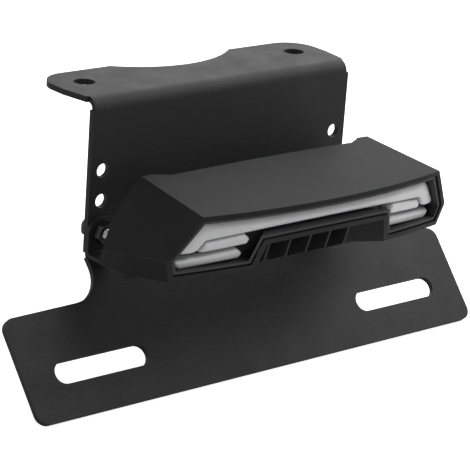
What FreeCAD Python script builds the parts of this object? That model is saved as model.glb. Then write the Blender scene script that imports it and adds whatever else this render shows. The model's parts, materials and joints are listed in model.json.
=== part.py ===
import FreeCAD, Part
import math
import os

# A motorcycle tail tidy: one bent sheet bracket that hangs from two bolts under the tail, carries the
# number plate on its inclined lower plate, and has a tail lamp bolted to its wall by two small stays.
# Millimetres. X is across the motorcycle, Y points to its front and Z is up. The origin lies midway
# between the two fixing holes, on the upper face of the top flange.

# Sheet
sheet = 2.3
bend_radius = 2.3
lower_bend_radius = 0.8
relief_depth = 1.0
relief_height = 0.6

# Top flange
flange_width = 132.0
flange_taper = 1.9
flange_taper_length = 12.0
flange_corner = 12.0
hole_line_to_wall = 21.6
hole_line_to_edge = 14.3
fixing_hole = 8.4
fixing_spacing = 105.5
scoop_width = 60.0
scoop_depth = 10.7

# Wall
wall_width = 128.0
wall_drop = 61.5
wall_hole = 5.5
wall_hole_spacing = 116.4
first_row_drop = 28.5
row_pitch = 12.0
row_count = 3

# Number-plate holder
plate_tilt = 40.9
plate_reach = 59.7
plate_width = 220.0
wing_height = 41.9
wing_rise = 0.7
plate_corner = 4.6
neck_taper = 0.8
neck_fillet = 12.5
slot_length = 42.5
slot_width = 8.7
slot_spacing = 149.8
slot_height = 17.4

# Lamp outside, with u measured forward from the wall's front face and w up from the lamp bolts
roof_half_width = 59.0
roof_front_height = 24.2
roof_slope = 5.0
roof_crown = 0.8
front_reach = 63.1
front_lean = 11.2
front_radius = 268.0
side_slope = 33.0
crease_set_back = 8.6
crease_front_u = front_reach - crease_set_back
crease_rear_height = 1.8
crease_rise = 9.4
lower_side_tuck = 17.7
rear_bow_u = 19.0
rear_bow_height = 15.3
rear_bow_radius = 30.0
rear_recess_depth = 3.0
rear_recess_half_width = 45.0
rear_recess_slant = 6.0
foot_gap = 18.4
floor_height = -4.9
floor_knee_u = 33.2
belly_slope = 9.4
pad_height = 3.0
pad_inset = 0.8

# Lamp shells
shell = 1.9
seal_thickness = 0.3
seal_inset = 0.1
post_radius = 2.4
post_u = 30.4
post_places = (-43.0, -22.0, 22.0, 43.0)
post_foot = 1.5

# Notch in the front of the lamp, and its ribs
notch_depth = 10.0
notch_back_u = front_reach - notch_depth
notch_edge_x = 32.4
notch_edge_set_back = 2.0
notch_edge_u = front_reach - notch_edge_set_back
notch_edge_w = -0.3
notch_flare = 1.167
notch_side_slant = 0.61
notch_ceiling = 10.5
notch_arch_radius = 500.0
rib_thickness = 1.1
rib_pitch = 9.5
rib_first = -28.0
rib_count = 5
rib_set_back = 0.3
rib_cut_slope = 24.0

# Bezel, the tray that holds the light guides
bezel_gap = 0.5
bezel_lip = 1.1
bezel_set_back = 0.7
tray_depth = 8.0
tray_floor = 1.4
tray_windows = ((5.0, 46.0, 17.4), (40.0, 50.0, 10.6), (42.0, 58.0, 6.0))
tray_window_height = 2.4
board_post_radius = 2.4
board_post_places = ((-56.0, 12.0), (0.0, 17.5), (56.0, 12.0))

# Light guides, with their outlines in x and w
guide_set_back = 2.6
guide_top_gap = 0.5
guide_height = 4.4
guide_sag_radius = 500.0
guide_foot_x = 64.2
guide_foot_height = 8.2
guide_leg_width = 7.8
guide_corner = 2.0
guide_gap = 0.45
bar_fall = 5.0
bar_inner_x = 35.0
bar_point = 2.5
upper_bar_low = 9.6
lower_bar_inner_x = 37.0
lower_bar_high = 8.9
lower_bar_low = 4.7
lower_bar_outer_x = 65.0
lower_bar_corner = 3.2

# Board behind the guides and its lights
board_set_back = 9.1
board_front_u = notch_back_u - board_set_back
board_thickness = 1.6
board_half_width = 59.0
board_clearance = 0.6
board_high = 19.0
led_size = 3.0
led_height = 1.0
main_led_places = (10.0, 21.0, 32.0, 43.0)
upper_bar_led_places = (42.5, 47.5)
lower_bar_led_places = (46.0, 54.0)

# Number-plate light in the belly
window_length = 34.0
window_depth = 8.0
window_set_back = 19.7
window_u = front_reach - window_set_back
window_flange = 1.5
window_flange_thickness = 1.0
window_gap = 0.15
plate_board_length = 48.0
plate_board_width = 7.0
plate_board_thickness = 1.2
plate_board_gap = 1.5
plate_board_post_x = 21.5
plate_board_post_radius = 1.8
plate_led_places = (-10.0, 0.0, 10.0)

# Stays, bolts, nuts and screws
stay_sheet = 1.5
stay_bend = 1.4
stay_ear_radius = 6.2
stay_leg_run = 10.1
stay_leg_reach = foot_gap + stay_leg_run
stay_leg_corner = 2.5
bolt_radius = 2.5
bolt_length = 9.2
bolt_head_height = 4.4
bolt_tip = 0.4
hexagon_width = 8.0
nut_height = 3.9
corner_share = 0.7
nut_turn = 10.0
bolt_head_turn = 30.0
thread_clearance = 0.1
tip_clearance = 0.5
stay_screw_radius = 1.5
stay_screw_head_radius = 2.9
stay_screw_head_height = 1.7
stay_screw_length = 5.0
stay_screw_run = 5.0
stay_screw_u = foot_gap + stay_screw_run
small_screw_radius = 1.1
small_screw_head_radius = 2.1
small_screw_head_height = 1.2
cover_screw_length = 12.0
board_screw_length = 5.0
screw_bevel_share = 0.25

# Cable grommet
grommet_height = 12.0
grommet_bore = 2.5
grommet_body = 4.5
grommet_flange = 6.2
grommet_flange_thickness = 1.2

# Places that follow from the sizes above, and two distances that reach past every face
wall_y = -hole_line_to_wall
bolt_z = -(first_row_drop + (row_count - 1) * row_pitch)
tilt = math.radians(plate_tilt)
plate_foot_y = wall_y - plate_reach * math.sin(tilt)
plate_foot_z = -wall_drop - plate_reach * math.cos(tilt)
upper_bend_outer = bend_radius + sheet
lower_bend_tangent = lower_bend_radius * math.tan(tilt / 2)
rear_bow_drop = rear_bow_height - crease_rear_height
lamp_gap = rear_bow_u + rear_bow_radius - math.sqrt(rear_bow_radius ** 2 - rear_bow_drop ** 2)
huge = 400.0
lamp_space = 150.0

X = FreeCAD.Vector(1, 0, 0)
Y = FreeCAD.Vector(0, 1, 0)
Z = FreeCAD.Vector(0, 0, 1)


def at(x, u, w):
    """A point of the lamp: u in front of the wall and w above the lamp bolts."""
    return FreeCAD.Vector(x, wall_y - u, bolt_z + w)


def save(name, *solids):
    """Write one node, made of one solid or of several separate ones."""
    flat = []
    for solid in solids:
        flat.extend(solid.Solids)
    for solid in flat:
        if not solid.isValid():
            raise ValueError(name + " isn't valid")
    shape = flat[0] if len(flat) == 1 else Part.makeCompound(flat)
    shape.exportStep("parts/" + name + ".step")
    print(name, len(flat), round(sum(solid.Volume for solid in flat), 1))


def rounded_wire(corners):
    """A closed wire in the XY plane through (x, y, radius) corners, with each corner rounded."""
    count = len(corners)
    ends = []
    for i in range(count):
        x, y, radius = corners[i]
        here = FreeCAD.Vector(x, y, 0)
        before = FreeCAD.Vector(corners[i - 1][0], corners[i - 1][1], 0)
        after = FreeCAD.Vector(corners[(i + 1) % count][0], corners[(i + 1) % count][1], 0)
        to_before = (before - here).normalize()
        to_after = (after - here).normalize()
        if radius == 0:
            ends.append((here, None, here))
            continue
        half = to_before.getAngle(to_after) / 2
        reach = radius / math.tan(half)
        middle_line = (to_before + to_after).normalize()
        middle = here + middle_line * (radius / math.sin(half) - radius)
        ends.append((here + to_before * reach, middle, here + to_after * reach))
    edges = []
    for i in range(count):
        start, middle, end = ends[i]
        if middle is not None:
            edges.append(Part.Arc(start, middle, end).toShape())
        following = ends[(i + 1) % count][0]
        if end.distanceToPoint(following) > 1e-6:
            edges.append(Part.LineSegment(end, following).toShape())
    return Part.Wire(edges)


def flat_piece(corners, height):
    """A plate with rounded corners, from z = 0 up by height."""
    return Part.Face(rounded_wire(corners)).extrude(Z * height)


def mirrored(shape):
    return shape.mirror(FreeCAD.Vector(0, 0, 0), X)


def cut_beyond(shape, point, normal):
    """Take away everything on the far side of a plane, on the side that its normal points to."""
    block = Part.makeBox(huge, huge, huge, FreeCAD.Vector(-huge / 2, -huge / 2, 0))
    block.Placement = FreeCAD.Placement(point, FreeCAD.Rotation(Z, normal))
    return shape.cut(block)


def cut_both_sides(shape, point, normal):
    """Cut with a plane on the right and with its mirror image on the left."""
    shape = cut_beyond(shape, point, normal)
    other_point = FreeCAD.Vector(-point.x, point.y, point.z)
    return cut_beyond(shape, other_point, FreeCAD.Vector(-normal.x, normal.y, normal.z))


def bracket_flange():
    """The top flange: two round-cornered ears, a scoop between them and the fixing holes."""
    half = flange_width / 2
    neck = half - flange_taper
    front = wall_y + upper_bend_outer
    rear = hole_line_to_edge
    chord = scoop_width / 2
    corners = [
        (-neck, front, 0),
        (neck, front, 0),
        (half, front + flange_taper_length, 0),
        (half, rear, flange_corner),
        (-half, rear, flange_corner),
        (-half, front + flange_taper_length, 0),
    ]
    flange = flat_piece(corners, sheet)
    scoop_radius = (chord ** 2 + scoop_depth ** 2) / (2 * scoop_depth)
    scoop_centre = FreeCAD.Vector(0, rear - scoop_depth + scoop_radius, -sheet)
    scoop = Part.makeCylinder(scoop_radius, 3 * sheet, scoop_centre)
    flange = flange.cut(scoop)
    for side in (-1, 1):
        start = FreeCAD.Vector(side * fixing_spacing / 2, 0, -sheet)
        flange = flange.cut(Part.makeCylinder(fixing_hole / 2, 3 * sheet, start))
    flange.translate(Z * -sheet)
    return flange


def bend_piece(centre, inner, thickness, start, sweep, width):
    """A bend of a sheet: a ring sector about a line along X, its angles measured from +Y towards +Z."""
    def spot(radius, angle):
        turn = math.radians(angle)
        return centre + FreeCAD.Vector(-width / 2, radius * math.cos(turn), radius * math.sin(turn))

    outer = inner + thickness
    end = start + sweep
    middle = start + sweep / 2
    edges = [
        Part.Arc(spot(outer, start), spot(outer, middle), spot(outer, end)).toShape(),
        Part.LineSegment(spot(outer, end), spot(inner, end)).toShape(),
        Part.Arc(spot(inner, end), spot(inner, middle), spot(inner, start)).toShape(),
        Part.LineSegment(spot(inner, start), spot(outer, start)).toShape(),
    ]
    return Part.Face(Part.Wire(edges)).extrude(X * width)


def bracket_wall():
    """The upright wall between the two bends, with three rows of lamp holes."""
    top = -upper_bend_outer
    bottom = -wall_drop + lower_bend_tangent
    wall = Part.makeBox(wall_width, sheet, top - bottom, FreeCAD.Vector(-wall_width / 2, wall_y, bottom))
    for row in range(row_count):
        for side in (-1, 1):
            drop = first_row_drop + row * row_pitch
            start = FreeCAD.Vector(side * wall_hole_spacing / 2, wall_y - sheet, -drop)
            wall = wall.cut(Part.makeCylinder(wall_hole / 2, 3 * sheet, start, Y))
    corner = FreeCAD.Vector(wall_width / 2 - relief_depth, wall_y, bottom)
    relief = Part.makeBox(relief_depth, sheet, relief_height, corner)
    return wall.cut([relief, mirrored(relief)])


def bracket_plate():
    """The inclined plate: a neck as wide as the wall, two wings and two long slots."""
    half = plate_width / 2
    neck = wall_width / 2
    neck_foot = neck - neck_taper
    top = plate_reach - lower_bend_tangent
    shoulder = wing_height + wing_rise
    corners = [
        (-half, 0, plate_corner),
        (half, 0, plate_corner),
        (half, wing_height, plate_corner),
        (neck_foot, shoulder, neck_fillet),
        (neck, top, 0),
        (-neck, top, 0),
        (-neck_foot, shoulder, neck_fillet),
        (-half, wing_height, plate_corner),
    ]
    plate = flat_piece(corners, sheet)
    end = slot_length / 2
    radius = slot_width / 2
    for side in (-1, 1):
        middle = side * slot_spacing / 2
        slot_corners = [
            (middle - end, slot_height - radius, radius - 0.001),
            (middle + end, slot_height - radius, radius - 0.001),
            (middle + end, slot_height + radius, radius - 0.001),
            (middle - end, slot_height + radius, radius - 0.001),
        ]
        slot = flat_piece(slot_corners, 3 * sheet)
        slot.translate(Z * -sheet)
        plate = plate.cut(slot)
    plate.translate(Z * -sheet)
    foot = FreeCAD.Vector(0, plate_foot_y, plate_foot_z)
    lean = FreeCAD.Placement(foot, FreeCAD.Rotation(X, 90 - plate_tilt))
    plate.Placement = lean.multiply(plate.Placement)
    return plate


def bracket():
    """The whole bracket as one sheet."""
    bend_width = wall_width - 2 * relief_depth
    upper_centre = FreeCAD.Vector(0, wall_y + upper_bend_outer, -upper_bend_outer)
    lower_centre = FreeCAD.Vector(0, wall_y - lower_bend_radius, -wall_drop + lower_bend_tangent)
    upper = bend_piece(upper_centre, bend_radius, sheet, 90, 90, bend_width)
    lower = bend_piece(lower_centre, lower_bend_radius, sheet, -plate_tilt, plate_tilt, bend_width)
    body = bracket_flange().fuse([upper, bracket_wall(), lower, bracket_plate()])
    return body.removeSplitter()


def sag(radius, half):
    """How far an arc falls back at a distance from its middle."""
    return radius - math.sqrt(radius ** 2 - half ** 2)


def front_region(set_back):
    """All the space behind the lamp's curved, leaning front, moved back by set_back."""
    half = lamp_space
    fall = sag(front_radius, half)
    lean = math.tan(math.radians(front_lean))
    bottom_w = -lamp_space
    u = front_reach + bottom_w * lean - set_back / math.cos(math.radians(front_lean))
    left = at(-half, u - fall, bottom_w)
    middle = at(0, u, bottom_w)
    right = at(half, u - fall, bottom_w)
    far_right = at(half, u - huge, bottom_w)
    far_left = at(-half, u - huge, bottom_w)
    edges = [
        Part.Arc(left, middle, right).toShape(),
        Part.LineSegment(right, far_right).toShape(),
        Part.LineSegment(far_right, far_left).toShape(),
        Part.LineSegment(far_left, left).toShape(),
    ]
    face = Part.Face(Part.Wire(edges))
    return face.extrude(FreeCAD.Vector(0, -lean, 1) * 2 * lamp_space)


def roof_region(inset):
    """All the space under the lamp's crowned, sloping roof."""
    half = lamp_space
    fall = roof_crown * (half / roof_half_width) ** 2
    slope = math.tan(math.radians(roof_slope))
    far_u = lamp_space
    edge_u = front_reach + roof_front_height * math.tan(math.radians(front_lean))
    edge_u -= sag(front_radius, roof_half_width)
    w = roof_front_height + roof_crown - (far_u - edge_u) * slope - inset / math.cos(math.radians(roof_slope))
    left = at(-half, far_u, w - fall)
    middle = at(0, far_u, w)
    right = at(half, far_u, w - fall)
    low_right = at(half, far_u, w - lamp_space)
    low_left = at(-half, far_u, w - lamp_space)
    edges = [
        Part.Arc(left, middle, right).toShape(),
        Part.LineSegment(right, low_right).toShape(),
        Part.LineSegment(low_right, low_left).toShape(),
        Part.LineSegment(low_left, left).toShape(),
    ]
    return Part.Face(Part.Wire(edges)).extrude(FreeCAD.Vector(0, 1, slope) * lamp_space)


def crease_height(u):
    """Height of the line where the upper side of the lamp meets the lower side."""
    return crease_rear_height + math.tan(math.radians(crease_rise)) * (u - lamp_gap)


def side_x(w):
    """Half width of the lamp at a height on its upper side face."""
    return roof_half_width + (roof_front_height - w) * math.tan(math.radians(side_slope))


def moved_in(corners, inset):
    """The corners of a closed outline, given clockwise, with each side moved in by inset."""
    count = len(corners)
    lines = []
    for i in range(count):
        x1, y1 = corners[i]
        x2, y2 = corners[(i + 1) % count]
        length = math.hypot(x2 - x1, y2 - y1)
        nx, ny = (y2 - y1) / length, -(x2 - x1) / length
        lines.append((nx, ny, nx * x1 + ny * y1 + inset))
    moved = []
    for i in range(count):
        a1, b1, c1 = lines[i - 1]
        a2, b2, c2 = lines[i]
        cross = a1 * b2 - a2 * b1
        moved.append(((c1 * b2 - c2 * b1) / cross, (a1 * c2 - a2 * c1) / cross))
    return moved


def side_region(inset):
    """The lamp's outline seen from its side, run across its whole width: foot, floor and belly."""
    far_u = lamp_space
    high_w = lamp_space
    far_w = belly_height(far_u)
    corners = [
        (0, high_w),
        (far_u, high_w),
        (far_u, far_w),
        (floor_knee_u, floor_height),
        (foot_gap, floor_height),
        (lamp_gap, crease_rear_height),
        (0, crease_rear_height),
    ]
    points = [at(-lamp_space, u, w) for u, w in moved_in(corners, inset)]
    return Part.Face(Part.makePolygon(points + points[:1])).extrude(X * 2 * lamp_space)


def lamp_form(inset, front):
    """The closed form of the lamp with its faces moved in by inset, and its front by another distance."""
    form = front_region(front).common(roof_region(inset)).common(side_region(inset))
    side = math.radians(side_slope)
    upper_normal = FreeCAD.Vector(math.cos(side), 0, math.sin(side))
    crease_front = at(side_x(crease_height(crease_front_u)), crease_front_u, crease_height(crease_front_u))
    crease_rear = at(side_x(crease_height(lamp_gap)), lamp_gap, crease_height(lamp_gap))
    down = FreeCAD.Vector(-math.tan(math.radians(lower_side_tuck)), 0, -1)
    lower_normal = down.cross(crease_rear - crease_front).normalize()
    for normal in (upper_normal, lower_normal):
        form = cut_both_sides(form, crease_front - normal * inset, normal)
    return form.cut([rear_outside(inset), rear_recess(inset)])


def rear_outside(inset):
    """All the space behind the lamp's bowed back, above the line where the bow meets the foot."""
    low = at(-lamp_space, rear_bow_u + rear_bow_radius, crease_rear_height + inset)
    block = Part.makeBox(2 * lamp_space, huge, lamp_space, low)
    axis = at(-lamp_space, rear_bow_u + rear_bow_radius, rear_bow_height)
    return block.cut(Part.makeCylinder(rear_bow_radius - inset, 2 * lamp_space, axis, X))


def rear_recess(inset):
    """The shallow recess across the back of the lamp, grown by inset."""
    low = rear_recess_half_width + inset
    high = low + rear_recess_slant
    mouth = wall_y - lamp_gap
    bottom = mouth - rear_recess_depth - inset
    left = [(-high, wall_y, 0), (-high, mouth, 0), (-low, bottom, 0)]
    right = [(low, bottom, 0), (high, mouth, 0), (high, wall_y, 0)]
    corners = left + right
    recess = flat_piece(corners, huge)
    recess.translate(Z * (bolt_z - huge / 2))
    return recess


def notch(grown):
    """The space of the notch under the middle of the lamp's front, with its faces moved out by grown."""
    half = lamp_space
    top = notch_ceiling + grown
    end = top - sag(notch_arch_radius - grown, half)
    back = notch_back_u - grown
    low_left = at(-half, back, -lamp_space)
    low_right = at(half, back, -lamp_space)
    edges = [
        Part.Arc(at(-half, back, end), at(0, back, top), at(half, back, end)).toShape(),
        Part.LineSegment(at(half, back, end), low_right).toShape(),
        Part.LineSegment(low_right, low_left).toShape(),
        Part.LineSegment(low_left, at(-half, back, end)).toShape(),
    ]
    space = Part.Face(Part.Wire(edges)).extrude(-Y * lamp_space)
    normal = FreeCAD.Vector(1, notch_flare, notch_side_slant).normalize()
    point = at(notch_edge_x, notch_edge_u, notch_edge_w) + normal * grown
    return cut_both_sides(space, point, normal)


def seam(offset):
    """A point and the upward normal of the plane between the two shells, moved up by offset."""
    rise = math.radians(crease_rise)
    normal = FreeCAD.Vector(0, math.sin(rise), math.cos(rise))
    return at(0, lamp_gap, crease_rear_height) + normal * offset, normal


def above_seam(shape, offset):
    point, normal = seam(offset)
    return cut_beyond(shape, point, -normal)


def below_seam(shape, offset):
    point, normal = seam(offset)
    return cut_beyond(shape, point, normal)


def upright(x, u, w, radius, length):
    """A cylinder that stands on a point of the lamp and goes up."""
    return Part.makeCylinder(radius, length, at(x, u, w), Z)


def forward(x, u, w, radius, length):
    """A cylinder that starts at a point of the lamp and goes towards its front."""
    return Part.makeCylinder(radius, length, at(x, u, w), -Y)


def lamp_cover():
    """The upper shell: roof, upper sides and back, with four screw posts under the roof."""
    walls = outer_form.cut(inner_form)
    cover = above_seam(walls, seal_thickness / 2)
    foot = floor_height + shell + post_foot
    pilot_radius = small_screw_radius + thread_clearance
    pilot_length = small_screw_head_height + cover_screw_length + tip_clearance
    roof_middle = lamp_form(shell / 2, shell)
    for x in post_places:
        cover = cover.fuse(upright(x, post_u, foot, post_radius, huge / 4).common(roof_middle))
        cover = cover.cut(upright(x, post_u, floor_height, pilot_radius, pilot_length))
    cable_hole = forward(0, 0, grommet_height, grommet_body, lamp_gap + 3 * shell + rear_recess_depth)
    return cover.cut(cable_hole).removeSplitter()


def lamp_seal():
    """The seal between the shells, which follows their walls."""
    band = lamp_form(seal_inset, seal_inset).cut(inner_form)
    return below_seam(above_seam(band, -seal_thickness / 2), seal_thickness / 2)


def belly_height(u):
    """Height of the sloping underside."""
    return floor_height + (u - floor_knee_u) * math.tan(math.radians(belly_slope))


def notch_rib(x):
    """One rib that crosses the notch from its ceiling and back wall to the curved front."""
    low = at(x - rib_thickness / 2, notch_back_u + lamp_space, -lamp_space)
    rib = Part.makeBox(rib_thickness, lamp_space, huge, low)
    rib = rib.common(notch(shell / 2)).common(lamp_form(0, rib_set_back))
    slope = math.radians(rib_cut_slope)
    low_point = at(x, notch_back_u, belly_height(notch_back_u))
    return cut_beyond(rib, low_point, FreeCAD.Vector(0, -math.sin(slope), -math.cos(slope)))


def lamp_base():
    """The lower shell: lower sides, feet, floor, belly and the notch with its ribs."""
    walls = below_seam(outer_form.cut(inner_form), -seal_thickness / 2).cut(notch(0))
    notch_walls = outer_form.common(notch(shell)).cut(notch(0))
    ribs = [notch_rib(rib_first + i * rib_pitch) for i in range(rib_count)]
    base = walls.fuse([notch_walls] + ribs)
    middle = floor_height + shell / 2
    hole_radius = small_screw_radius + thread_clearance
    head_radius = small_screw_head_radius + thread_clearance
    for x in post_places:
        base = base.fuse(upright(x, post_u, middle, post_radius, shell / 2 + post_foot))
        base = base.cut(upright(x, post_u, floor_height, hole_radius, shell + post_foot))
        base = base.cut(upright(x, post_u, floor_height, head_radius, small_screw_head_height))
    pilot_radius = stay_screw_radius + thread_clearance
    pilot_length = stay_screw_length - stay_sheet + tip_clearance
    for side in (-1, 1):
        base = base.fuse(stay_pad(side * wall_hole_spacing / 2))
        x = side * wall_hole_spacing / 2
        base = base.cut(upright(x, stay_screw_u, floor_height - pad_height, pilot_radius, pilot_length))
    opening = on_belly(window_length + 2 * window_gap, window_depth + 2 * window_gap, -shell, 3 * shell)
    base = base.cut(opening)
    post_height = shell / 2 + window_flange_thickness + plate_board_gap
    for side in (-1, 1):
        foot = FreeCAD.Vector(side * plate_board_post_x, 0, shell / 2)
        post = Part.makeCylinder(plate_board_post_radius, post_height, foot)
        post.Placement = belly_place()
        base = base.fuse(post)
    return base.removeSplitter()


def stay_pad(x):
    """A pad under the floor for the leg of a stay, a little smaller than the leg."""
    half = stay_ear_radius - pad_inset
    near = foot_gap + pad_inset
    far = stay_leg_reach - pad_inset
    corner = stay_leg_corner - pad_inset
    corners = [(-half, -far, corner), (half, -far, corner), (half, -near, corner), (-half, -near, corner)]
    pad = flat_piece(corners, pad_height + shell / 2)
    pad.translate(at(x, 0, floor_height - pad_height))
    return pad


def belly_place():
    """The middle of the plate light, lying on the sloping underside with its third axis pointing inward."""
    return FreeCAD.Placement(at(0, window_u, belly_height(window_u)), FreeCAD.Rotation(X, -belly_slope))


def on_belly(length, depth, bottom, height):
    """A box that lies in line with the underside, centred on the plate light."""
    box = Part.makeBox(length, depth, height, FreeCAD.Vector(-length / 2, -depth / 2, bottom))
    box.Placement = belly_place().multiply(box.Placement)
    return box


def front_outline(corners):
    """A solid whose outline is given in x and w, running back from in front of the lamp."""
    points = [at(x, lamp_space, w) for x, w in corners]
    return Part.Face(Part.makePolygon(points + points[:1])).extrude(Y * huge)


def between_fronts(shape, near, far):
    """The part of a shape that lies from near to far behind the lamp's front."""
    return shape.common(front_region(near)).cut(front_region(far))


def main_guide_low(x):
    """Height of the main guide's curved lower edge at x."""
    middle = roof_front_height - shell - bezel_gap - bezel_lip - guide_top_gap - guide_height
    return middle - x * x / (2 * guide_sag_radius)


def leg_inner_x(w):
    """Where the inner edge of the main guide's leg stands at a height."""
    return guide_foot_x - guide_leg_width - (w - guide_foot_height) * math.tan(math.radians(side_slope))


def main_light_guide():
    """The long guide: an upper run, curved along its lower edge, whose ends turn down beside the bars."""
    side = math.tan(math.radians(side_slope))
    high = main_guide_low(0) + guide_height
    top_x = guide_foot_x - (high - guide_foot_height) * side
    fork_w = main_guide_low(guide_foot_x - guide_leg_width)
    fork_x = leg_inner_x(fork_w)
    far = lamp_space
    half = [
        (top_x - guide_corner, high),
        (top_x + guide_corner * side, high - guide_corner),
        (guide_foot_x, guide_foot_height),
        (guide_foot_x - guide_leg_width, guide_foot_height),
        (fork_x, fork_w),
    ]
    points = [at(x, far, w) for x, w in half]
    others = [at(-x, far, w) for x, w in reversed(half)]
    edges = [Part.LineSegment(points[i], points[i + 1]).toShape() for i in range(4)]
    edges.append(Part.Arc(points[4], at(0, far, main_guide_low(0)), others[0]).toShape())
    edges.extend(Part.LineSegment(others[i], others[i + 1]).toShape() for i in range(4))
    edges.append(Part.LineSegment(others[4], points[0]).toShape())
    return guide_body(Part.Face(Part.Wire(edges)).extrude(Y * huge))


def guide_body(run):
    """Trim a guide to its depth between the curved fronts."""
    return between_fronts(run, guide_set_back, tray_depth)


def upper_light_bar():
    """The upper short bar on the right, which fits the corner between the main run and its leg."""
    fall = math.tan(math.radians(bar_fall))
    top_x = bar_inner_x + bar_point
    top_w = main_guide_low(top_x) - guide_gap
    outer_top_w = main_guide_low(leg_inner_x(guide_foot_height)) - guide_gap
    outer_top_x = leg_inner_x(outer_top_w) - guide_gap
    outer_low_w = upper_bar_low - (outer_top_x - bar_inner_x) * fall
    corners = [
        (bar_inner_x, (top_w + upper_bar_low) / 2),
        (top_x, top_w),
        (outer_top_x, outer_top_w),
        (leg_inner_x(outer_low_w) - guide_gap, outer_low_w),
        (bar_inner_x + bar_point / 2, upper_bar_low),
    ]
    return guide_body(front_outline(corners))


def lower_light_bar():
    """The lower short bar on the right, with its outer lower corner cut off."""
    fall = math.tan(math.radians(bar_fall))
    inner = lower_bar_inner_x
    outer = lower_bar_outer_x
    span = outer - inner
    corners = [
        (inner, (lower_bar_high + lower_bar_low) / 2),
        (inner + bar_point, lower_bar_high),
        (outer, lower_bar_high - span * fall),
        (outer - bar_point / 4, lower_bar_low - span * fall + lower_bar_corner / 2),
        (outer - lower_bar_corner, lower_bar_low - (span - lower_bar_corner) * fall),
        (inner + bar_point / 2, lower_bar_low),
    ]
    return guide_body(front_outline(corners))


def lamp_bezel():
    """The tray behind the opening: a lip, a pocket for the guides, light windows and posts for the board."""
    edge = shell + bezel_gap
    rear = tray_depth + tray_floor
    tray = lamp_form(edge, bezel_set_back).cut(front_region(rear)).cut(notch(edge))
    inner = edge + bezel_lip
    pocket = lamp_form(inner, -tray_depth).cut(front_region(tray_depth)).cut(notch(inner))
    tray = tray.cut(pocket)
    for side in (-1, 1):
        for near, far, middle in tray_windows:
            x = near if side > 0 else -far
            low = at(x, front_reach + tray_depth, middle - tray_window_height / 2)
            tray = tray.cut(Part.makeBox(far - near, front_reach, tray_window_height, low))
    pilot_radius = small_screw_radius + thread_clearance
    pilot_length = board_screw_length - board_thickness + tip_clearance
    floor_middle = front_region(tray_depth + tray_floor / 2)
    for x, w in board_post_places:
        tray = tray.fuse(forward(x, board_front_u, w, board_post_radius, huge / 8).common(floor_middle))
        tray = tray.cut(forward(x, board_front_u, w, pilot_radius, pilot_length))
    return tray.removeSplitter()


def board_low():
    """Height of the main board's lower edge, clear of the small board over the belly."""
    top = shell + window_flange_thickness + plate_board_gap + plate_board_thickness
    front_corner = FreeCAD.Vector(0, -plate_board_width / 2, top)
    return belly_place().multVec(front_corner).z - bolt_z + board_clearance


def tail_led_board():
    """The flat board behind the tray, with its screw holes."""
    back_u = board_front_u - board_thickness
    bottom = board_low()
    low = at(-board_half_width, board_front_u, bottom)
    board = Part.makeBox(2 * board_half_width, board_thickness, board_high - bottom, low)
    for x, w in board_post_places:
        board = board.cut(forward(x, back_u, w, small_screw_radius + thread_clearance, board_thickness))
    return board


def tail_leds():
    """The lights on the board's front, behind the windows of the tray."""
    places = [(x, tray_windows[0][2]) for x in main_led_places]
    places += [(x, tray_windows[1][2]) for x in upper_bar_led_places]
    places += [(x, tray_windows[2][2]) for x in lower_bar_led_places]
    return [led(side * x, w) for x, w in places for side in (-1, 1)]


def led(x, w):
    low = at(x - led_size / 2, board_front_u + led_height, w - led_size / 2)
    return Part.makeBox(led_size, led_height, led_size, low)


def plate_light_window():
    """The clear window in the belly, with a flange on the inside."""
    body = on_belly(window_length, window_depth, 0, shell)
    length = window_length + 2 * window_flange
    depth = window_depth + 2 * window_flange
    flange = on_belly(length, depth, shell, window_flange_thickness)
    return body.fuse(flange).removeSplitter()


def plate_led_board():
    """The small board above the window."""
    bottom = shell + window_flange_thickness + plate_board_gap
    return on_belly(plate_board_length, plate_board_width, bottom, plate_board_thickness)


def plate_leds():
    """The lights under the small board, above the window."""
    bottom = shell + window_flange_thickness + plate_board_gap - led_height
    lights = []
    for x in plate_led_places:
        low = FreeCAD.Vector(x - led_size / 2, -led_size / 2, bottom)
        box = Part.makeBox(led_size, led_size, led_height, low)
        box.Placement = belly_place().multiply(box.Placement)
        lights.append(box)
    return lights


def rims(shape, height):
    """The round edges of a turned shape that lie at a height."""
    level = [edge for edge in shape.Edges if edge.Closed and edge.BoundBox.ZLength < 0.001]
    return [edge for edge in level if abs(edge.BoundBox.ZMin - height) < 0.001]


def screw(radius, length, head_radius, head_height):
    """A screw: its bevelled head on the origin and its shank down along Z."""
    shank = Part.makeCylinder(radius, length, FreeCAD.Vector(0, 0, -length))
    head = Part.makeCylinder(head_radius, head_height)
    head = head.makeChamfer(head_height * screw_bevel_share, rims(head, head_height))
    return head.fuse(shank).removeSplitter()


def placed(shape, point, direction):
    """A copy of a shape whose third axis is turned to a direction and whose origin is moved to a point."""
    copy = shape.copy()
    copy.Placement = FreeCAD.Placement(point, FreeCAD.Rotation(Z, direction))
    return copy


def cover_screws():
    """The screws that come up through the floor into the posts of the cover."""
    one = screw(small_screw_radius, cover_screw_length, small_screw_head_radius, small_screw_head_height)
    seat = floor_height + small_screw_head_height
    return [placed(one, at(x, post_u, seat), -Z) for x in post_places]


def board_screws():
    """The screws that hold the flat board on the posts of the tray, from behind."""
    one = screw(small_screw_radius, board_screw_length, small_screw_head_radius, small_screw_head_height)
    back_u = board_front_u - board_thickness
    return [placed(one, at(x, back_u, w), Y) for x, w in board_post_places]


def stay_screws():
    """The screws that hold the legs of the stays under the lamp."""
    one = screw(stay_screw_radius, stay_screw_length, stay_screw_head_radius, stay_screw_head_height)
    seat = floor_height - pad_height - stay_sheet
    half = wall_hole_spacing / 2
    return [placed(one, at(x, stay_screw_u, seat), -Z) for x in (-half, half)]


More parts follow.
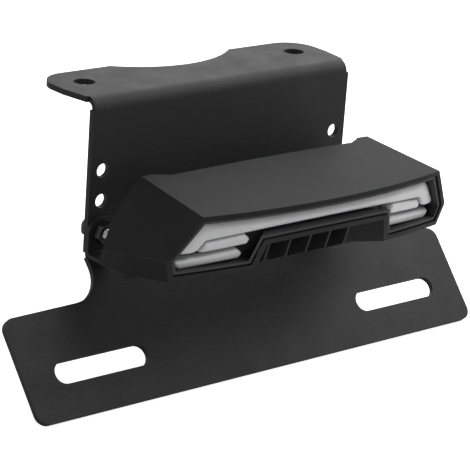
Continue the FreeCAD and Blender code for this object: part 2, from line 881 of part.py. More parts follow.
def right_lamp_stay():
    """A small bent stay: a round-ended ear against the wall and a leg under the lamp."""
    centre_x = wall_hole_spacing / 2
    r = stay_ear_radius
    outer = stay_bend + stay_sheet
    bottom = floor_height - pad_height - stay_sheet
    ear_corners = [(-r, bottom + outer, 0), (r, bottom + outer, 0), (r, r, r - 0.01), (-r, r, r - 0.01)]
    ear = flat_piece(ear_corners, stay_sheet)
    ear = ear.cut(Part.makeCylinder(wall_hole / 2, 3 * stay_sheet, FreeCAD.Vector(0, 0, -stay_sheet)))
    ear.Placement = FreeCAD.Placement(at(centre_x, 0, 0), FreeCAD.Rotation(X, 90))
    reach = stay_leg_reach
    corner = stay_leg_corner
    leg_corners = [(-r, -reach, corner), (r, -reach, corner), (r, -outer, 0), (-r, -outer, 0)]
    leg = flat_piece(leg_corners, stay_sheet)
    hole_radius = stay_screw_radius + thread_clearance
    leg = leg.cut(Part.makeCylinder(hole_radius, stay_sheet, FreeCAD.Vector(0, -stay_screw_u, 0)))
    leg.translate(at(centre_x, 0, bottom))
    bend = bend_piece(at(centre_x, outer, bottom + outer), stay_bend, stay_sheet, -90, 90, 2 * r)
    return ear.fuse([leg, bend]).removeSplitter()


def hexagon(height, turned):
    """A six-sided blank standing on the origin, bevelled at both ends, with a corner turned from X."""
    corner = hexagon_width / math.sqrt(3)
    turns = [math.radians(turned + 60 * i) for i in range(7)]
    points = [FreeCAD.Vector(corner * math.cos(turn), corner * math.sin(turn), 0) for turn in turns]
    cut_back = (corner - hexagon_width / 2) * corner_share
    blank = Part.makeCylinder(corner, height)
    blank = blank.makeChamfer(cut_back, rims(blank, 0) + rims(blank, height))
    return Part.Face(Part.makePolygon(points)).extrude(Z * height).common(blank)


def lamp_bolt():
    """A hexagon-head bolt: its head on the origin and its shank down along Z."""
    shank = Part.makeCylinder(bolt_radius, bolt_length, FreeCAD.Vector(0, 0, -bolt_length))
    shank = shank.makeChamfer(bolt_tip, rims(shank, -bolt_length))
    return hexagon(bolt_head_height, bolt_head_turn).fuse(shank).removeSplitter()


def lamp_nut():
    """A hexagon nut standing on the origin."""
    return hexagon(nut_height, nut_turn).cut(Part.makeCylinder(bolt_radius + thread_clearance, nut_height))


def lamp_bolts():
    """The bolts come from behind the wall, through the lowest holes, with their heads on the sheet."""
    places = [side * wall_hole_spacing / 2 for side in (-1, 1)]
    return [placed(lamp_bolt(), at(x, -sheet, 0), Y) for x in places]


def lamp_nuts():
    places = [side * wall_hole_spacing / 2 for side in (-1, 1)]
    return [placed(lamp_nut(), at(x, stay_sheet, 0), -Y) for x in places]


def cable_grommet():
    """The ring in the back of the lamp that the lead passes through."""
    back = lamp_gap + rear_recess_depth
    thick = grommet_flange_thickness
    ring = forward(0, back - thick, grommet_height, grommet_flange, shell + 2 * thick)
    groove = forward(0, back, grommet_height, grommet_flange + 1, shell)
    groove = groove.cut(forward(0, back, grommet_height, grommet_body, shell))
    return ring.cut(groove).cut(forward(0, 0, grommet_height, grommet_bore, huge / 4))


outer_form = lamp_form(0, 0)
inner_form = lamp_form(shell, -tray_depth)

os.makedirs("parts", exist_ok=True)
save("bracket", bracket())
save("lamp_cover", lamp_cover())
save("lamp_seal", lamp_seal())
save("lamp_base", lamp_base())
save("lamp_bezel", lamp_bezel())
save("main_light_guide", main_light_guide())
save("right_upper_light_bar", upper_light_bar())
save("left_upper_light_bar", mirrored(upper_light_bar()))
save("right_lower_light_bar", lower_light_bar())
save("left_lower_light_bar", mirrored(lower_light_bar()))
save("tail_led_board", tail_led_board())
save("tail_leds", *tail_leds())
save("board_screws", *board_screws())
save("plate_light_window", plate_light_window())
save("plate_led_board", plate_led_board())
save("plate_leds", *plate_leds())
save("cover_screws", *cover_screws())
save("cable_grommet", cable_grommet())
save("right_lamp_stay", right_lamp_stay())
save("left_lamp_stay", mirrored(right_lamp_stay()))
save("stay_screws", *stay_screws())
save("lamp_bolts", *lamp_bolts())
save("lamp_nuts", *lamp_nuts())
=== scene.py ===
import bpy
import bmesh
import json
import math
from mathutils import Matrix, Vector


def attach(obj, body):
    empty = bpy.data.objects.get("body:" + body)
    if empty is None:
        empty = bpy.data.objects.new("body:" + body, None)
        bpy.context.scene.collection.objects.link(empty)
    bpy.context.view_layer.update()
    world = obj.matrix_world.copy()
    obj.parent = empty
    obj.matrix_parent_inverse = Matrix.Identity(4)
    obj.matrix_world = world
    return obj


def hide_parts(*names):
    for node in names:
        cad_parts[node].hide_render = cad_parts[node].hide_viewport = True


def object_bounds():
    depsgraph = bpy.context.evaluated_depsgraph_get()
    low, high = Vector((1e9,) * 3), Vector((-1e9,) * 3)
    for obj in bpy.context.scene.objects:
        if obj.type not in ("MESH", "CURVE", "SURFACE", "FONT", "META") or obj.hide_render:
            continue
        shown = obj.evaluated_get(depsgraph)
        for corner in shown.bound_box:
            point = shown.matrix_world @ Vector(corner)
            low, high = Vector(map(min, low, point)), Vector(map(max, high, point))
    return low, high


# The tail tidy in its finishes: textured powder coat on the sheet, moulded lamp shells, opal light
# guides, steel bolts and rubber. Metres, in the frame of the CAD model, and angles in degrees.

MM = 0.001

# Camera, where the photograph was taken from
camera_place = (-0.5591, -0.6775, 0.2339)
camera_azimuth = -40.93
camera_elevation = 19.03
camera_roll = 4.18
camera_lens = 176.2
camera_sensor = 36.0
camera_near = 0.05
camera_far = 20.0

# Soft lights: name, place, width, and power in watts
soft_lights = (
    ("top_light", (0.7, 0.45, 1.0), 0.9, 8.0),
    ("front_light", (0.45, -0.95, 1.2), 0.6, 7.5),
    ("low_light", (0.5, -1.3, 0.15), 0.9, 2.2),
    ("rear_light", (0.85, 0.95, 0.4), 0.9, 1.7),
    ("side_light", (0.5, -0.1, 0.3), 0.3, 1.5),
)
surround_light = 0.3
surround_white = 1.0
floor_half = 3.0
floor_glow = 0.8

# The bracket's wall, and the lamp's bolts in it
wall_y = -21.6 * MM
sheet = 2.3 * MM
bolt_x = 58.2 * MM
bolt_z = -52.5 * MM
bolt_radius = 2.5 * MM
bolt_length = 9.2 * MM
bolt_tip = 0.5 * MM
thread_pitch = 0.8 * MM
thread_depth = 0.45 * MM
head_width = 8.0 * MM
head_height = 4.4 * MM
head_bevel = 0.5 * MM
head_turn = 30

# Pan-head screws: radius and length of the shank, radius and height of the head
stay_screw = (1.5 * MM, 5.0 * MM, 2.9 * MM, 1.7 * MM)
cover_screw = (1.1 * MM, 12.0 * MM, 2.1 * MM, 1.2 * MM)

# The lamp's front, which leans back and is bowed
front_reach = 63.1 * MM
front_lean = 11.2
front_radius = 268 * MM

# The ribs in the lamp's notch, and the stretch of their front edges that is drawn back
rib_first = -28 * MM
rib_pitch = 9.5 * MM
rib_count = 5
rib_side = 0.6 * MM
rib_front = 1.0 * MM
rib_low = -4 * MM
rib_high = 8 * MM
rib_lean_back = 1.0 * MM

# Light guides: how far they lie behind the lamp's front, and how their front rolls away at the edges
guide_front = 2.65 * MM
lower_bar_front = 3.7 * MM
guide_back = 7.95 * MM
leg_length = 14 * MM
outer_roll = 0.7 * MM
inner_roll = 1.2 * MM
end_roll = 1.4 * MM
roll_fall = 1.1 * MM
full_width = 4.2 * MM

# Where a guide has its rows of points: from its ends, and from its outer and its inner edge
station_step = 2.5 * MM
station_least = 0.04 * MM
end_stations = tuple(v * MM for v in (0.06, 0.15, 0.3, 0.5, 0.8, 1.2, 1.7, 2.3))
outer_rows = tuple(v * MM for v in (0, 0.08, 0.22, 0.42, 0.7, 1.1))
middle_rows = (0.25, 0.5, 0.75)
inner_rows = tuple(v * MM for v in (1.25, 0.9, 0.6, 0.35, 0.15, 0.05, 0))

# Meshes: points nearer than weld are joined, faces that turn by less than flat_angle are joined,
# and edges that turn by more than bevel_angle are rounded
weld = 0.002 * MM
flat_angle = 0.15
bevel_angle = 28

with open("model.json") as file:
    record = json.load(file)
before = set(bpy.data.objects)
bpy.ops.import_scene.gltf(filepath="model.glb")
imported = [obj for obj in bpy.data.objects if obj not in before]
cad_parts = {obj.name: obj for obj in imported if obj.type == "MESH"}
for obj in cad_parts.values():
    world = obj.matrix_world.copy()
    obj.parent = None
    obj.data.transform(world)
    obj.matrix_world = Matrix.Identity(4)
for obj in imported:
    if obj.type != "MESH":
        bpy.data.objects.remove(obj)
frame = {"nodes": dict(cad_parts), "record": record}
cad_low, cad_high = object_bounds()
nodes = frame["nodes"]
centre = (cad_low + cad_high) / 2


# Materials

def new_material(name):
    """An empty node material with its shader, and object coordinates in metres."""
    material = bpy.data.materials.new(name)
    material.use_nodes = True
    tree = material.node_tree
    shader = tree.nodes["Principled BSDF"]
    place = tree.nodes.new("ShaderNodeTexCoord").outputs["Object"]
    return material, tree, shader, place


def noise(tree, place, size, detail):
    """Noise whose patches are about size metres across."""
    node = tree.nodes.new("ShaderNodeTexNoise")
    node.inputs["Scale"].default_value = 1 / size
    node.inputs["Detail"].default_value = detail
    node.inputs["Roughness"].default_value = 0.6
    tree.links.new(place, node.inputs["Vector"])
    return node.outputs["Fac"]


def spread(tree, value, low, high, start=0.3, end=0.7):
    """Turn a value, by default a noise, into a range of values."""
    node = tree.nodes.new("ShaderNodeMapRange")
    node.inputs["From Min"].default_value = start
    node.inputs["From Max"].default_value = end
    node.inputs["To Min"].default_value = low
    node.inputs["To Max"].default_value = high
    tree.links.new(value, node.inputs["Value"])
    return node.outputs["Result"]


def tint(tree, value, dark, light):
    """Turn a noise into a colour between two."""
    node = tree.nodes.new("ShaderNodeValToRGB")
    node.color_ramp.elements[0].position = 0.3
    node.color_ramp.elements[1].position = 0.7
    node.color_ramp.elements[0].color = (*dark, 1)
    node.color_ramp.elements[1].color = (*light, 1)
    tree.links.new(value, node.inputs["Fac"])
    return node.outputs["Color"]


def bump(tree, value, depth, strength):
    """A bump of a real depth in metres."""
    node = tree.nodes.new("ShaderNodeBump")
    node.inputs["Strength"].default_value = strength
    node.inputs["Distance"].default_value = depth
    tree.links.new(value, node.inputs["Height"])
    return node.outputs["Normal"]


def finish(tree, shader, colour, rough, normal):
    """Connect the three inputs that every material here varies."""
    tree.links.new(colour, shader.inputs["Base Color"])
    tree.links.new(rough, shader.inputs["Roughness"])
    tree.links.new(normal, shader.inputs["Normal"])


def powder_coat():
    """Matte black powder coat with its fine pebbled texture."""
    material, tree, shader, place = new_material("powder_coat")
    pebbles = noise(tree, place, size=0.7 * MM, detail=2)
    cloud = noise(tree, place, size=14 * MM, detail=3)
    colour = tint(tree, pebbles, dark=(0.012, 0.012, 0.0125), light=(0.019, 0.019, 0.0195))
    rough = spread(tree, cloud, low=0.52, high=0.64)
    finish(tree, shader, colour, rough, bump(tree, pebbles, depth=0.05 * MM, strength=0.6))
    shader.inputs["Specular IOR Level"].default_value = 0.2
    return material


def moulding(name, dark, light, rough, grain):
    """A black moulding with a spark-eroded grain."""
    material, tree, shader, place = new_material(name)
    fine = noise(tree, place, size=grain, detail=2)
    cloud = noise(tree, place, size=18 * MM, detail=2)
    colour = tint(tree, cloud, dark, light)
    roughness = spread(tree, fine, low=rough - 0.05, high=rough + 0.06)
    finish(tree, shader, colour, roughness, bump(tree, fine, depth=0.03 * MM, strength=0.5))
    shader.inputs["Specular IOR Level"].default_value = 0.06
    return material


def opal():
    """Milky light guide: soft inside, with a faint cloudiness."""
    material, tree, shader, place = new_material("opal_guide")
    cloud = noise(tree, place, size=9 * MM, detail=3)
    fine = noise(tree, place, size=0.9 * MM, detail=2)
    colour = tint(tree, cloud, dark=(0.53, 0.53, 0.535), light=(0.58, 0.58, 0.585))
    rough = spread(tree, cloud, low=0.34, high=0.44)
    finish(tree, shader, colour, rough, bump(tree, fine, depth=0.01 * MM, strength=0.4))
    shader.inputs["Subsurface Weight"].default_value = 0.25
    shader.inputs["Subsurface Radius"].default_value = (1.0, 1.0, 1.0)
    shader.inputs["Subsurface Scale"].default_value = 2 * MM
    return material


def clear_plastic():
    """Clear window with a faint ripple."""
    material, tree, shader, place = new_material("clear_window")
    ripple = noise(tree, place, size=2.5 * MM, detail=1)
    colour = tint(tree, ripple, dark=(0.82, 0.83, 0.84), light=(0.9, 0.9, 0.91))
    rough = spread(tree, ripple, low=0.08, high=0.16)
    finish(tree, shader, colour, rough, bump(tree, ripple, depth=0.1 * MM, strength=0.5))
    shader.inputs["Transmission Weight"].default_value = 0.85
    shader.inputs["IOR"].default_value = 1.49
    return material


def steel(name, dark, light, rough):
    """Steel with a fine uneven shine and small stains."""
    material, tree, shader, place = new_material(name)
    stain = noise(tree, place, size=1.5 * MM, detail=4)
    fine = noise(tree, place, size=0.25 * MM, detail=2)
    colour = tint(tree, stain, dark, light)
    roughness = spread(tree, fine, low=rough - 0.06, high=rough + 0.08)
    finish(tree, shader, colour, roughness, bump(tree, fine, depth=0.01 * MM, strength=0.5))
    shader.inputs["Metallic"].default_value = 1.0
    return material


def rubber():
    """Dull black rubber."""
    material, tree, shader, place = new_material("seal_rubber")
    fine = noise(tree, place, size=0.5 * MM, detail=3)
    colour = tint(tree, fine, dark=(0.016, 0.016, 0.016), light=(0.024, 0.024, 0.024))
    rough = spread(tree, fine, low=0.75, high=0.88)
    finish(tree, shader, colour, rough, bump(tree, fine, depth=0.04 * MM, strength=0.6))
    return material


def board_lacquer():
    """Green board lacquer over faint tracks."""
    material, tree, shader, place = new_material("circuit_board")
    tracks = tree.nodes.new("ShaderNodeTexVoronoi")
    tracks.inputs["Scale"].default_value = 1 / (2.5 * MM)
    tracks.distance = "CHEBYCHEV"
    tree.links.new(place, tracks.inputs["Vector"])
    edges = tracks.outputs["Distance"]
    colour = tint(tree, edges, dark=(0.012, 0.075, 0.03), light=(0.02, 0.12, 0.05))
    rough = spread(tree, edges, low=0.3, high=0.45)
    finish(tree, shader, colour, rough, bump(tree, edges, depth=0.03 * MM, strength=0.4))
    return material


def chip_resin():
    """Yellowish phosphor under clear resin."""
    material, tree, shader, place = new_material("light_chip")
    fine = noise(tree, place, size=0.4 * MM, detail=2)
    colour = tint(tree, fine, dark=(0.7, 0.62, 0.25), light=(0.8, 0.74, 0.4))
    rough = spread(tree, fine, low=0.2, high=0.35)
    finish(tree, shader, colour, rough, bump(tree, fine, depth=0.01 * MM, strength=0.3))
    return material


def cover_moulding():
    """The black of the lamp's upper shell."""
    dark, light = (0.014, 0.014, 0.0145), (0.018, 0.018, 0.0185)
    return moulding("lamp_moulding", dark, light, rough=0.5, grain=0.35 * MM)


def lower_moulding():
    """The slightly paler black of the lamp's lower shell."""
    dark, light = (0.020, 0.020, 0.0205), (0.026, 0.026, 0.0265)
    return moulding("base_moulding", dark, light, rough=0.5, grain=0.35 * MM)


def bezel():
    """The satin black of the lamp's bezel."""
    dark, light = (0.052, 0.052, 0.0525), (0.062, 0.062, 0.0625)
    return moulding("bezel_moulding", dark, light, rough=0.42, grain=0.3 * MM)


materials = {
    "powder_coat": powder_coat(),
    "lamp_moulding": cover_moulding(),
    "bezel_moulding": bezel(),
    "opal_guide": opal(),
    "clear_window": clear_plastic(),
    "circuit_board": board_lacquer(),
    "light_chip": chip_resin(),
    "screw_steel": steel("screw_steel", dark=(0.30, 0.30, 0.31), light=(0.42, 0.42, 0.43), rough=0.35),
    "bolt_steel": steel("bolt_steel", dark=(0.46, 0.46, 0.47), light=(0.60, 0.60, 0.61), rough=0.3),
    "seal_rubber": rubber(),
}
base_moulding = lower_moulding()
blackened = steel("blackened_steel", dark=(0.035, 0.035, 0.036), light=(0.055, 0.055, 0.056), rough=0.38)


def dress(thing, slot):
    """Give an object one material on all its faces."""
    thing.data.materials.clear()
    thing.data.materials.append(materials[slot])
    for face in thing.data.polygons:
        face.material_index = 0


slot_of = {entry["node"]: entry["material_slot"] for entry in frame["record"]["subparts"]}
for name, node in nodes.items():
    dress(node, slot_of[name])


# Making objects and meshes

def added(name, data):
    """A new object of the scene."""
    thing = bpy.data.objects.new(name, data)
    bpy.context.scene.collection.objects.link(thing)
    return thing


def piece_of(name, shape, slot):
    """Turn a finished shape into a piece of the lamp or the bracket, with smooth faces."""
    mesh = bpy.data.meshes.new(name)
    shape.to_mesh(mesh)
    shape.free()
    for face in mesh.polygons:
        face.use_smooth = True
    piece = added(name, mesh)
    dress(piece, slot)
    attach(piece, "root")
    return piece


def skin(shape, rings):
    """Join rings of vertices into one closed surface, with a face across each end."""
    for low, high in zip(rings, rings[1:]):
        for i in range(len(low)):
            j = (i + 1) % len(low)
            shape.faces.new((low[i], low[j], high[j], high[i]))
    shape.faces.new(rings[0])
    shape.faces.new(rings[-1])
    bmesh.ops.recalc_face_normals(shape, faces=shape.faces)


def around(radius, turn, height):
    """The point at a radius and a height, after a share of a whole turn about the Z axis."""
    return radius * math.cos(math.tau * turn), radius * math.sin(math.tau * turn), height


def circle(shape, radius, height, steps):
    """A round ring of vertices about the Z axis."""
    return [shape.verts.new(around(radius, i / steps, height)) for i in range(steps)]


def on_front(x, w, behind):
    """The point a distance behind the lamp's bowed, leaning front, at x and at w above the bolts."""
    lean = math.radians(front_lean)
    sag = front_radius - math.sqrt(front_radius ** 2 - x ** 2)
    reach = front_reach + w * math.tan(lean) - sag - behind / math.cos(lean)
    return Vector((x, wall_y - reach, bolt_z + w))


# Pieces that stand for CAD nodes, with their edges rounded

def lean_ribs(shape):
    """Draw back the lower ends of the ribs' front edges, so that the edges lean more."""
    for vert in shape.verts:
        x, w = vert.co.x, vert.co.z - bolt_z
        number = round((x - rib_first) / rib_pitch)
        aside = abs(x - rib_first - number * rib_pitch)
        in_front = vert.co.y - on_front(x, w, 0).y < rib_front
        if 0 <= number < rib_count and aside < rib_side and in_front and rib_low < w < rib_high:
            vert.co.y += rib_lean_back


def softened(name, radius, steps, change=None):
    """A copy of a CAD node whose sharp edges are rounded, as paint or a mould leaves them."""
    shape = bmesh.new()
    shape.from_mesh(nodes[name].data)
    bmesh.ops.remove_doubles(shape, verts=shape.verts, dist=weld)
    flat = math.radians(flat_angle)
    bmesh.ops.dissolve_limit(shape, angle_limit=flat, verts=shape.verts, edges=shape.edges)
    if change is not None:
        change(shape)
    piece = piece_of(name + "_soft", shape, slot_of[name])
    bevel = piece.modifiers.new("rounding", "BEVEL")
    bevel.width = radius
    bevel.segments = steps
    bevel.limit_method = "ANGLE"
    bevel.angle_limit = math.radians(bevel_angle)
    bevel.miter_outer = "MITER_ARC"
    bevel.use_clamp_overlap = True
    even = piece.modifiers.new("even_shading", "WEIGHTED_NORMAL")
    even.mode = "FACE_AREA"
    even.weight = 90
    even.keep_sharp = False
    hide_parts(name)
    return piece


softened("bracket", radius=0.3 * MM, steps=2)
softened("lamp_cover", radius=0.4 * MM, steps=3)
base = softened("lamp_base", radius=0.35 * MM, steps=3, change=lean_ribs)
base.data.materials[0] = base_moulding
softened("lamp_bezel", radius=0.3 * MM, steps=3)
softened("left_lamp_stay", radius=0.2 * MM, steps=2)
softened("right_lamp_stay", radius=0.2 * MM, steps=2)
nuts = softened("lamp_nuts", radius=0.3 * MM, steps=3)
nuts.data.materials[0] = blackened


# Light guides, with the folded and rolled front of the opal mouldings

def sharpened(piece, angle):
    """Keep the edges sharp that turn by more than an angle."""
    piece.data.set_sharp_from_angle(angle=math.radians(angle))


def blended(low, high, share):
    """The pair of edge points a share of the way from one station to the next."""
    return [tuple(a + (b - a) * share for a, b in zip(p, q)) for p, q in zip(low, high)]


def stations(keys):
    """Stations along a strip through its key stations, closer together near its ends.

    Each has its outer and its inner edge point, and its distances from the strip's two ends.
    """
    lengths = [0.0]
    for low, high in zip(keys, keys[1:]):
        middles = [[(p[i] + q[i]) / 2 for i in (0, 1)] for p, q in (low, high)]
        lengths.append(lengths[-1] + math.dist(*middles))
    total = lengths[-1]
    marks = set(lengths)
    for place in end_stations:
        marks.update((place, total - place))
    count = int(total / station_step)
    marks.update(total * i / count for i in range(count + 1))
    result = []
    for mark in sorted(m for m in marks if 0 <= m <= total):
        if result and mark - result[-1][2] < station_least:
            continue
        leg = min(i for i in range(1, len(lengths)) if mark <= lengths[i])
        share = (mark - lengths[leg - 1]) / (lengths[leg] - lengths[leg - 1])
        outer, inner = blended(keys[leg - 1], keys[leg], share)
        result.append((outer, inner, mark, total - mark))
    return result


def tucked(distance, radius):
    """How far a corner of this radius draws an edge in, at a distance from the strip's end."""
    if distance >= radius:
        return 0.0
    return radius - math.sqrt(radius ** 2 - (radius - distance) ** 2)


def rolled(gaps):
    """How far the front rolls away, from pairs of the distance to an edge and the reach of its roll."""
    lack = sum((1 - gap / reach) ** 2 for gap, reach in gaps if gap < reach)
    return roll_fall * (1 - math.sqrt(max(0.0, 1 - lack)))


def strip(name, keys, depth, ridge, falls, start_corners, end_corners):
    """A guide swept through key stations, each an outer and an inner point on the lamp's front.

    The front lies at a depth, leans back from the ridge towards the outer edge, and rolls away at
    every edge. The falls give how far the outer edge leans back in the middle and at the ends. The
    corners give how wide the outer and the inner corner of an end are rounded.
    """
    middle_fall, end_fall = falls
    shape = bmesh.new()
    rings = []
    for outer, inner, from_start, from_end in stations(keys):
        width = math.dist(outer, inner)
        along = [(b - a) / width for a, b in zip(outer, inner)]
        corners = zip(start_corners, end_corners)
        draws = [max(tucked(from_start, start), tucked(from_end, end)) for start, end in corners]
        room = width - sum(draws)
        leg = min(1.0, min(from_start, from_end) / leg_length)
        lean_back = end_fall + (middle_fall - end_fall) * leg * leg
        scale = min(1.0, room / full_width)
        near = [row * scale for row in outer_rows] + [ridge * scale]
        far = [room - row * scale for row in inner_rows]
        between = [near[-1] + (far[0] - near[-1]) * share for share in middle_rows]
        points = []
        for across in near + between + far:
            sides = ((across, outer_roll), (room - across, inner_roll))
            ends = ((from_start, end_roll), (from_end, end_roll))
            lean = lean_back * max(0.0, 1 - across / (ridge * scale))
            points.append((across, depth + rolled(sides + ends) + lean))
        points += [(room, guide_back), (0, guide_back)]
        ring = []
        for across, behind in points:
            x, w = (a + d * (draws[0] + across) for a, d in zip(outer, along))
            ring.append(shape.verts.new(on_front(x, w, behind)))
        rings.append(ring)
    skin(shape, rings)
    piece = piece_of(name, shape, "opal_guide")
    sharpened(piece, angle=50)
    return piece


def mirrored(keys):
    """The same stations on the other side of the lamp."""
    return [[(-x, w) for x, w in pair] for pair in keys]


def in_mm(keys):
    """Stations in metres, from stations given in millimetres."""
    return [[(x * MM, w * MM) for x, w in pair] for pair in keys]


def main_guide():
    """The long guide, down one leg, across the top and down the other, with a bowed lower edge."""
    outer_end, inner_end = 54.0, 53.4
    top, bottom, bow = 20.15, 15.8, 1000
    steps = 24
    run = []
    for i in range(steps + 1):
        outer_x, inner_x = outer_end * i / steps, inner_end * i / steps
        run.append([(outer_x, top), (inner_x, bottom - inner_x ** 2 / bow)])
    corner = [[(55.6, 19.5), (53.5, 12.95)], [(57.3, 18.2), (53.6, 12.85)], [(58.8, 16.8), (53.7, 12.7)]]
    foot = [[(64.8, 8.3), (56.6, 8.3)]]
    half = in_mm(run + corner + foot)
    keys = mirrored(half[:0:-1]) + half
    corners = (0.5 * MM, 3.0 * MM)
    ridge = 2.6 * MM
    falls = (2.4 * MM, 0.8 * MM)
    piece = strip("main_guide_moulding", keys, guide_front, ridge, falls, corners, corners)
    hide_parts("main_light_guide")


def upper_bar(side):
    """A short guide in the corner of the long one."""
    keys = in_mm([
        [(35.05, 12.2), (35.3, 10.7)],
        [(37.3, 13.9), (36.3, 9.65)],
        [(52.9, 12.2), (53.6, 8.3)],
        [(53.2, 11.8), (55.4, 8.2)],
    ])
    if side < 0:
        keys = mirrored(keys)
    name = "right_upper" if side > 0 else "left_upper"
    tip_corners = (0.3 * MM, 0.5 * MM)
    outer_corners = (0.3 * MM, 1.0 * MM)
    ridge = 1.6 * MM
    falls = (1.1 * MM, 1.1 * MM)
    bar = name + "_bar_moulding"
    piece = strip(bar, keys, guide_front, ridge, falls, tip_corners, outer_corners)
    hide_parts(name + "_light_bar")


def lower_bar(side):
    """The short guide below, whose outer end rolls away."""
    keys = in_mm([
        [(36.3, 6.2), (36.6, 4.8)],
        [(38.6, 7.8), (37.6, 3.6)],
        [(61.3, 5.6), (61.4, 1.8)],
        [(63.9, 5.4), (63.2, 2.9)],
    ])
    if side < 0:
        keys = mirrored(keys)
    name = "right_lower" if side > 0 else "left_lower"
    tip_corners = (0.3 * MM, 0.5 * MM)
    outer_corners = (0.4 * MM, 0.4 * MM)
    ridge = 1.5 * MM
    falls = (1.0 * MM, 1.0 * MM)
    bar = name + "_bar_moulding"
    piece = strip(bar, keys, lower_bar_front, ridge, falls, tip_corners, outer_corners)
    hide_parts(name + "_light_bar")


main_guide()
for side in (-1, 1):
    upper_bar(side)
    lower_bar(side)


# Fasteners

def thread(shape):
    """The bolt's threaded shank down from the origin along Z, with a chamfered, slightly hollow end."""
    steps = 36
    rows_per_pitch = 8
    chamfer_slope = 0.8
    flank_slope, root_width = 1.4, 0.2
    count = int(bolt_length / (thread_pitch / rows_per_pitch))
    rings = []
    for row in range(count + 1):
        height = -bolt_length * row / count
        chamfer = max(0.0, bolt_tip - (bolt_length + height)) * chamfer_slope
        ring = []
        for i in range(steps):
            wave = abs(2 * ((height / thread_pitch + i / steps) % 1) - 1)
            groove = thread_depth * min(1.0, max(0.0, flank_slope * wave - root_width))
            radius = bolt_radius - max(groove, chamfer)
            ring.append(shape.verts.new(around(radius, i / steps, height)))
        rings.append(ring)
    for share, hollow in ((0.62, 0.0), (0.5, 0.12 * MM), (0.2, 0.2 * MM)):
        rings.append(circle(shape, bolt_radius * share, hollow - bolt_length, steps))
    skin(shape, rings)


def hexagon(shape):
    """The bolt's six-sided head standing on the origin, with its corners turned down at the top."""
    steps = 48
    corner = 0.985 * head_width / math.sqrt(3)
    levels = (
        (0.0, 0.0),
        (0.0, head_height - head_bevel),
        (0.6 * head_bevel, head_height - 0.3 * head_bevel),
        (1.7 * head_bevel, head_height),
    )
    rings = []
    for inset, level in levels:
        ring = []
        for i in range(steps):
            from_flat = math.tau * ((i / steps) % (1 / 6) - 1 / 12)
            radius = min(head_width / 2 / math.cos(from_flat), corner - inset)
            ring.append(shape.verts.new(around(radius, i / steps + head_turn / 360, level)))
        rings.append(ring)
    skin(shape, rings)


def bolt_piece(name, build, place, sharp):
    """One end of a lamp bolt, built about the origin and moved to its place."""
    shape = bmesh.new()
    build(shape)
    shape.transform(place)
    piece = piece_of(name, shape, "bolt_steel")
    sharpened(piece, sharp)
    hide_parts("lamp_bolts")
    return piece


def lamp_bolts():
    """The lamp's bolts: a blackened hexagon head behind the wall and a bare thread in front of it."""
    aim = Vector((0, 1, 0)).to_track_quat("Z", "Y").to_matrix().to_4x4()
    for side, word in ((-1, "left"), (1, "right")):
        place = Matrix.Translation((side * bolt_x, wall_y + sheet, bolt_z)) @ aim
        bolt_piece(word + "_bolt_thread", thread, place, sharp=40)
        head = bolt_piece(word + "_bolt_head", hexagon, place, sharp=25)
        head.data.materials[0] = blackened


def pan_screw(shape, radius, length, pan_radius, pan_height):
    """A pan-head screw with a cross recess, its head on the origin and its shank down along Z."""
    steps = 64
    edge_share = 0.45
    arm_width, arm_length, recess_depth = 0.13, 0.58, 0.6
    wall_slope, wall_start = 3, 0.4
    shares = (1.0, 0.985, 0.94, 0.86, 0.75, 0.66, 0.58, 0.5, 0.42, 0.34, 0.27, 0.2, 0.13, 0.06)
    rings = [circle(shape, radius, -length, steps), circle(shape, radius, 0, steps)]
    rings.append(circle(shape, pan_radius, 0, steps))
    for share in shares:
        dome = pan_height * (edge_share + (1 - edge_share) * math.sqrt(1 - share ** 2))
        ring = []
        for i in range(steps):
            x, y, top = around(pan_radius * share, i / steps, dome)
            arm = min(abs(x), abs(y)) / (arm_width * pan_radius)
            reach = max(abs(x), abs(y)) / (arm_length * pan_radius)
            inside = min(1.0, max(0.0, wall_slope * (1 - max(arm, reach)) + wall_start))
            ring.append(shape.verts.new((x, y, top - inside * recess_depth * pan_height)))
        rings.append(ring)
    skin(shape, rings)


def screw_seats(name, pan_height):
    """Where the heads of a CAD node's screws sit, from the boxes round its separate solids."""
    shape = bmesh.new()
    shape.from_mesh(nodes[name].data)
    bmesh.ops.remove_doubles(shape, verts=shape.verts, dist=weld)
    seen = set()
    seats = []
    for start in shape.verts:
        if start in seen:
            continue
        group = [start]
        seen.add(start)
        for vert in group:
            for edge in vert.link_edges:
                other = edge.other_vert(vert)
                if other not in seen:
                    seen.add(other)
                    group.append(other)
        xs, ys, zs = zip(*(v.co for v in group))
        seats.append(((min(xs) + max(xs)) / 2, (min(ys) + max(ys)) / 2, min(zs) + pan_height))
    shape.free()
    return seats


def screws(name, sizes):
    """Pan-head screws whose heads point down, in place of a CAD node."""
    shape = bmesh.new()
    for seat in screw_seats(name, sizes[-1]):
        one = bmesh.new()
        pan_screw(one, *sizes)
        one.transform(Matrix.Translation(seat) @ Matrix.Rotation(math.pi, 4, "X"))
        mesh = bpy.data.meshes.new(name + "_one")
        one.to_mesh(mesh)
        one.free()
        shape.from_mesh(mesh)
        bpy.data.meshes.remove(mesh)
    piece = piece_of(name + "_heads", shape, "screw_steel")
    sharpened(piece, angle=40)
    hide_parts(name)


lamp_bolts()
screws("stay_screws", stay_screw)
screws("cover_screws", cover_screw)


# Floor, light and camera

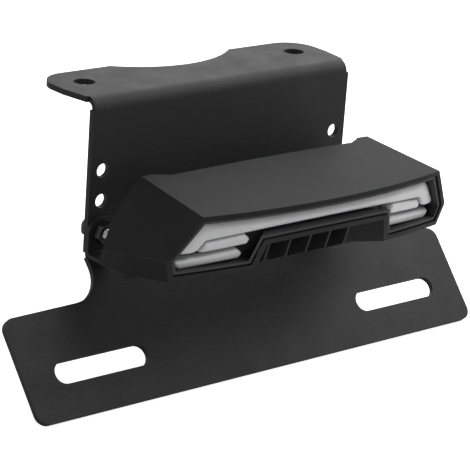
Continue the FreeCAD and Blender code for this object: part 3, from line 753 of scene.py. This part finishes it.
def floor():
    """A plain pale floor under the object, which fades into the background."""
    half, level = floor_half, cad_low.z
    corners = [(-half, -half, level), (half, -half, level), (half, half, level), (-half, half, level)]
    mesh = bpy.data.meshes.new("floor")
    mesh.from_pydata(corners, [], [(0, 1, 2, 3)])
    thing = added("floor", mesh)
    material, tree, shader, place = new_material("floor_paint")
    cloud = noise(tree, place, size=0.4, detail=2)
    colour = tint(tree, cloud, dark=(0.86, 0.86, 0.86), light=(0.88, 0.88, 0.88))
    tree.links.new(colour, shader.inputs["Base Color"])
    shader.inputs["Roughness"].default_value = 0.9
    shader.inputs["Specular IOR Level"].default_value = 0.0
    rays = tree.nodes.new("ShaderNodeLightPath")
    glow = tree.nodes.new("ShaderNodeMath")
    glow.operation = "MULTIPLY"
    glow.inputs[1].default_value = floor_glow
    tree.links.new(rays.outputs["Is Camera Ray"], glow.inputs[0])
    tree.links.new(glow.outputs[0], shader.inputs["Emission Strength"])
    shader.inputs["Emission Color"].default_value = (1, 1, 1, 1)
    mesh.materials.append(material)


def surround():
    """White where the camera, a gloss or a clear piece sees it, and plain grey light elsewhere."""
    world = bpy.data.worlds.new("surround")
    bpy.context.scene.world = world
    world.use_nodes = True
    tree = world.node_tree
    sky = tree.nodes["Background"]
    rays = tree.nodes.new("ShaderNodeLightPath")
    seen = rays.outputs["Is Camera Ray"]
    for name in ("Is Glossy Ray", "Is Transmission Ray"):
        larger = tree.nodes.new("ShaderNodeMath")
        larger.operation = "MAXIMUM"
        tree.links.new(seen, larger.inputs[0])
        tree.links.new(rays.outputs[name], larger.inputs[1])
        seen = larger.outputs[0]
    strength = spread(tree, seen, low=surround_light, high=surround_white, start=0.0, end=1.0)
    tree.links.new(strength, sky.inputs["Strength"])
    sky.inputs["Color"].default_value = (1, 1, 1, 1)


def soft_light(name, place, width, power):
    """A square soft light at a place, turned towards the middle of the object."""
    data = bpy.data.lights.new(name, "AREA")
    data.size = width
    data.energy = power
    lamp = added(name, data)
    lamp.location = place
    lamp.rotation_mode = "QUATERNION"
    lamp.rotation_quaternion = (centre - Vector(place)).to_track_quat("-Z", "Y")


def camera():
    """The photograph's camera, with its small roll."""
    turn, rise, roll = (math.radians(v) for v in (camera_azimuth, camera_elevation, camera_roll))
    back = Vector((math.sin(turn) * math.cos(rise), -math.cos(turn) * math.cos(rise), math.sin(rise)))
    level = Vector((math.cos(turn), math.sin(turn), 0))
    upright = back.cross(level)
    right = level * math.cos(roll) + upright * math.sin(roll)
    up = upright * math.cos(roll) - level * math.sin(roll)
    data = bpy.data.cameras.new("camera")
    data.lens = camera_lens
    data.sensor_width = camera_sensor
    data.clip_start = camera_near
    data.clip_end = camera_far
    thing = added("camera", data)
    turned = Matrix((right, up, back)).transposed().to_4x4()
    thing.matrix_world = Matrix.Translation(camera_place) @ turned
    bpy.context.scene.camera = thing


floor()
surround()
for light in soft_lights:
    soft_light(*light)
camera()

scene = bpy.context.scene
scene.view_settings.view_transform = "Standard"
